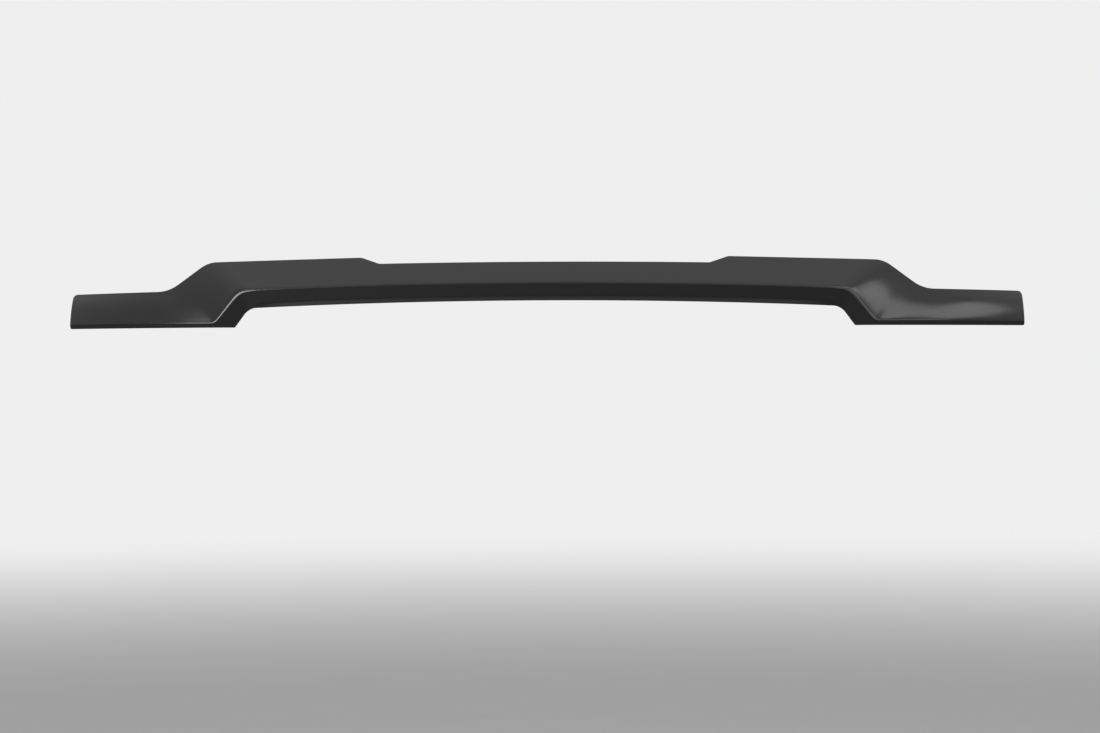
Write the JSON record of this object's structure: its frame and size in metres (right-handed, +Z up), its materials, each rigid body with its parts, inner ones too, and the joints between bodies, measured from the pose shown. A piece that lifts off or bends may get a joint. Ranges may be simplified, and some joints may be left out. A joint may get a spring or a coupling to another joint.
{
  "type": "hood bug deflector",
  "caption": "Low wrap-around bug deflector for the front edge of a vehicle's hood: a formed black sheet with a creased nose, stepped ends and foam tape on its back.",
  "frame": {"origin": "middle of the bonded face of the foam tape at the centre of the upper edge", "axes": "+X along the width, to the right seen from in front of the vehicle; -Y forwards, out of the front; +Z up"},
  "size_m": [1.76, 0.2059, 0.1268],
  "materials": {
    "shell": "satin black formed acrylic",
    "tape": "dark grey closed-cell foam tape"
  },
  "bodies": {
    "root": {"band_centre_tape": "tape", "deflector_shell": "shell", "left_band_inner_tape": "tape", "left_band_outer_tape": "tape", "left_diagonal_tape": "tape", "left_dome_inner_tape": "tape", "left_dome_outer_tape": "tape", "left_end_tape": "tape", "left_shoulder_tape": "tape", "left_upper_inner_tape": "tape", "left_wing_lower_inner_tape": "tape", "left_wing_lower_outer_tape": "tape", "left_wing_upper_inner_tape": "tape", "left_wing_upper_outer_tape": "tape", "right_band_inner_tape": "tape", "right_band_outer_tape": "tape", "right_diagonal_tape": "tape", "right_dome_inner_tape": "tape", "right_dome_outer_tape": "tape", "right_end_tape": "tape", "right_shoulder_tape": "tape", "right_upper_inner_tape": "tape", "right_wing_lower_inner_tape": "tape", "right_wing_lower_outer_tape": "tape", "right_wing_upper_inner_tape": "tape", "right_wing_upper_outer_tape": "tape", "upper_centre_tape": "tape"}
  },
  "joints": []
}
